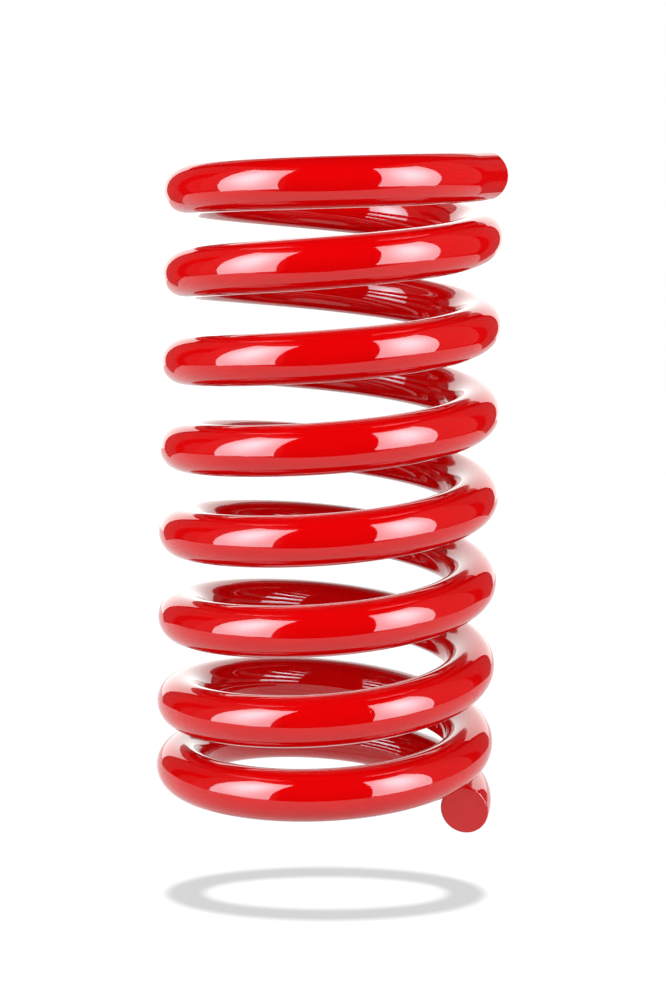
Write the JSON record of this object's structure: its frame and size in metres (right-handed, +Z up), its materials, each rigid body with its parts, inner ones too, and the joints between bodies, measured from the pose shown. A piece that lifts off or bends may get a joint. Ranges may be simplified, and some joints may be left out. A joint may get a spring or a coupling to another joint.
{
  "type": "coil spring",
  "caption": "Right-hand wound suspension coil spring of round bar, with closed square-cut ends and a glossy red powder coat.",
  "frame": {"origin": "on the spring's axis, level with the lowest point of the bar, where the lower spring seat carries it", "axes": "+Z up along the spring's axis, from the lower end coil to the upper end coil; +X towards the sawn lower end of the bar, which lies 16 degrees clockwise of it seen from above; +Y completes the right-handed frame"},
  "size_m": [0.1119, 0.1118, 0.2238],
  "materials": {
    "powder_coat": "glossy red powder coat on spring steel"
  },
  "bodies": {
    "lower_end_coil": {"lower_end_coil": "powder_coat"},
    "turn_1_quarter_4": {"turn_1_quarter_4": "powder_coat"},
    "turn_2_quarter_1": {"turn_2_quarter_1": "powder_coat"},
    "turn_2_quarter_2": {"turn_2_quarter_2": "powder_coat"},
    "turn_2_quarter_3": {"turn_2_quarter_3": "powder_coat"},
    "turn_2_quarter_4": {"turn_2_quarter_4": "powder_coat"},
    "turn_3_quarter_1": {"turn_3_quarter_1": "powder_coat"},
    "turn_3_quarter_2": {"turn_3_quarter_2": "powder_coat"},
    "turn_3_quarter_3": {"turn_3_quarter_3": "powder_coat"},
    "turn_3_quarter_4": {"turn_3_quarter_4": "powder_coat"},
    "turn_4_quarter_1": {"turn_4_quarter_1": "powder_coat"},
    "turn_4_quarter_2": {"turn_4_quarter_2": "powder_coat"},
    "turn_4_quarter_3": {"turn_4_quarter_3": "powder_coat"},
    "turn_4_quarter_4": {"turn_4_quarter_4": "powder_coat"},
    "turn_5_quarter_1": {"turn_5_quarter_1": "powder_coat"},
    "turn_5_quarter_2": {"turn_5_quarter_2": "powder_coat"},
    "turn_5_quarter_3": {"turn_5_quarter_3": "powder_coat"},
    "turn_5_quarter_4": {"turn_5_quarter_4": "powder_coat"},
    "turn_6_quarter_1": {"turn_6_quarter_1": "powder_coat"},
    "turn_6_quarter_2": {"turn_6_quarter_2": "powder_coat"},
    "turn_6_quarter_3": {"turn_6_quarter_3": "powder_coat"},
    "turn_6_quarter_4": {"turn_6_quarter_4": "powder_coat"},
    "turn_7_quarter_1": {"turn_7_quarter_1": "powder_coat"},
    "turn_7_quarter_2": {"turn_7_quarter_2": "powder_coat"},
    "turn_7_quarter_3": {"turn_7_quarter_3": "powder_coat"},
    "turn_7_quarter_4": {"turn_7_quarter_4": "powder_coat"},
    "upper_end_coil": {"upper_end_coil": "powder_coat"}
  },
  "joints": [
    {"name": "compression", "type": "slide", "parent": "lower_end_coil", "child": "upper_end_coil", "axis": [0, 0, 1], "range_m": [-0.06, 0], "stiffness_N_per_m": 117000},
    {"name": "turn_1_quarter_4_drop", "type": "slide", "parent": "lower_end_coil", "child": "turn_1_quarter_4", "axis": [0, 0, 1], "range_m": [-0.0003, 0]},
    {"name": "turn_2_quarter_1_drop", "type": "slide", "parent": "lower_end_coil", "child": "turn_2_quarter_1", "axis": [0, 0, 1], "range_m": [-0.0004, 0]},
    {"name": "turn_2_quarter_2_drop", "type": "slide", "parent": "lower_end_coil", "child": "turn_2_quarter_2", "axis": [0, 0, 1], "range_m": [-0.0018, 0]},
    {"name": "turn_2_quarter_3_drop", "type": "slide", "parent": "lower_end_coil", "child": "turn_2_quarter_3", "axis": [0, 0, 1], "range_m": [-0.0043, 0]},
    {"name": "turn_2_quarter_4_drop", "type": "slide", "parent": "lower_end_coil", "child": "turn_2_quarter_4", "axis": [0, 0, 1], "range_m": [-0.007, 0]},
    {"name": "turn_3_quarter_1_drop", "type": "slide", "parent": "lower_end_coil", "child": "turn_3_quarter_1", "axis": [0, 0, 1], "range_m": [-0.0096, 0]},
    {"name": "turn_3_quarter_2_drop", "type": "slide", "parent": "lower_end_coil", "child": "turn_3_quarter_2", "axis": [0, 0, 1], "range_m": [-0.0121, 0]},
    {"name": "turn_3_quarter_3_drop", "type": "slide", "parent": "lower_end_coil", "child": "turn_3_quarter_3", "axis": [0, 0, 1], "range_m": [-0.0147, 0]},
    {"name": "turn_3_quarter_4_drop", "type": "slide", "parent": "lower_end_coil", "child": "turn_3_quarter_4", "axis": [0, 0, 1], "range_m": [-0.0172, 0]},
    {"name": "turn_4_quarter_1_drop", "type": "slide", "parent": "lower_end_coil", "child": "turn_4_quarter_1", "axis": [0, 0, 1], "range_m": [-0.0198, 0]},
    {"name": "turn_4_quarter_2_drop", "type": "slide", "parent": "lower_end_coil", "child": "turn_4_quarter_2", "axis": [0, 0, 1], "range_m": [-0.0224, 0]},
    {"name": "turn_4_quarter_3_drop", "type": "slide", "parent": "lower_end_coil", "child": "turn_4_quarter_3", "axis": [0, 0, 1], "range_m": [-0.025, 0]},
    {"name": "turn_4_quarter_4_drop", "type": "slide", "parent": "lower_end_coil", "child": "turn_4_quarter_4", "axis": [0, 0, 1], "range_m": [-0.0276, 0]},
    {"name": "turn_5_quarter_1_drop", "type": "slide", "parent": "lower_end_coil", "child": "turn_5_quarter_1", "axis": [0, 0, 1], "range_m": [-0.0301, 0]},
    {"name": "turn_5_quarter_2_drop", "type": "slide", "parent": "lower_end_coil", "child": "turn_5_quarter_2", "axis": [0, 0, 1], "range_m": [-0.0327, 0]},
    {"name": "turn_5_quarter_3_drop", "type": "slide", "parent": "lower_end_coil", "child": "turn_5_quarter_3", "axis": [0, 0, 1], "range_m": [-0.0352, 0]},
    {"name": "turn_5_quarter_4_drop", "type": "slide", "parent": "lower_end_coil", "child": "turn_5_quarter_4", "axis": [0, 0, 1], "range_m": [-0.0378, 0]},
    {"name": "turn_6_quarter_1_drop", "type": "slide", "parent": "lower_end_coil", "child": "turn_6_quarter_1", "axis": [0, 0, 1], "range_m": [-0.0404, 0]},
    {"name": "turn_6_quarter_2_drop", "type": "slide", "parent": "lower_end_coil", "child": "turn_6_quarter_2", "axis": [0, 0, 1], "range_m": [-0.043, 0]},
    {"name": "turn_6_quarter_3_drop", "type": "slide", "parent": "lower_end_coil", "child": "turn_6_quarter_3", "axis": [0, 0, 1], "range_m": [-0.0456, 0]},
    {"name": "turn_6_quarter_4_drop", "type": "slide", "parent": "lower_end_coil", "child": "turn_6_quarter_4", "axis": [0, 0, 1], "range_m": [-0.0481, 0]},
    {"name": "turn_7_quarter_1_drop", "type": "slide", "parent": "lower_end_coil", "child": "turn_7_quarter_1", "axis": [0, 0, 1], "range_m": [-0.0507, 0]},
    {"name": "turn_7_quarter_2_drop", "type": "slide", "parent": "lower_end_coil", "child": "turn_7_quarter_2", "axis": [0, 0, 1], "range_m": [-0.0533, 0]},
    {"name": "turn_7_quarter_3_drop", "type": "slide", "parent": "lower_end_coil", "child": "turn_7_quarter_3", "axis": [0, 0, 1], "range_m": [-0.056, 0]},
    {"name": "turn_7_quarter_4_drop", "type": "slide", "parent": "lower_end_coil", "child": "turn_7_quarter_4", "axis": [0, 0, 1], "range_m": [-0.0588, 0]}
  ],
  "couplings": [
    {"joint": "turn_1_quarter_4_drop", "follows": "compression", "ratio": 0.003},
    {"joint": "turn_2_quarter_1_drop", "follows": "compression", "ratio": 0.005},
    {"joint": "turn_2_quarter_2_drop", "follows": "compression", "ratio": 0.027},
    {"joint": "turn_2_quarter_3_drop", "follows": "compression", "ratio": 0.069},
    {"joint": "turn_2_quarter_4_drop", "follows": "compression", "ratio": 0.114},
    {"joint": "turn_3_quarter_1_drop", "follows": "compression", "ratio": 0.157},
    {"joint": "turn_3_quarter_2_drop", "follows": "compression", "ratio": 0.2},
    {"joint": "turn_3_quarter_3_drop", "follows": "compression", "ratio": 0.242},
    {"joint": "turn_3_quarter_4_drop", "follows": "compression", "ratio": 0.285},
    {"joint": "turn_4_quarter_1_drop", "follows": "compression", "ratio": 0.328},
    {"joint": "turn_4_quarter_2_drop", "follows": "compression", "ratio": 0.371},
    {"joint": "turn_4_quarter_3_drop", "follows": "compression", "ratio": 0.414},
    {"joint": "turn_4_quarter_4_drop", "follows": "compression", "ratio": 0.457},
    {"joint": "turn_5_quarter_1_drop", "follows": "compression", "ratio": 0.5},
    {"joint": "turn_5_quarter_2_drop", "follows": "compression", "ratio": 0.543},
    {"joint": "turn_5_quarter_3_drop", "follows": "compression", "ratio": 0.585},
    {"joint": "turn_5_quarter_4_drop", "follows": "compression", "ratio": 0.628},
    {"joint": "turn_6_quarter_1_drop", "follows": "compression", "ratio": 0.671},
    {"joint": "turn_6_quarter_2_drop", "follows": "compression", "ratio": 0.714},
    {"joint": "turn_6_quarter_3_drop", "follows": "compression", "ratio": 0.757},
    {"joint": "turn_6_quarter_4_drop", "follows": "compression", "ratio": 0.8},
    {"joint": "turn_7_quarter_1_drop", "follows": "compression", "ratio": 0.843},
    {"joint": "turn_7_quarter_2_drop", "follows": "compression", "ratio": 0.886},
    {"joint": "turn_7_quarter_3_drop", "follows": "compression", "ratio": 0.931},
    {"joint": "turn_7_quarter_4_drop", "follows": "compression", "ratio": 0.977}
  ]
}
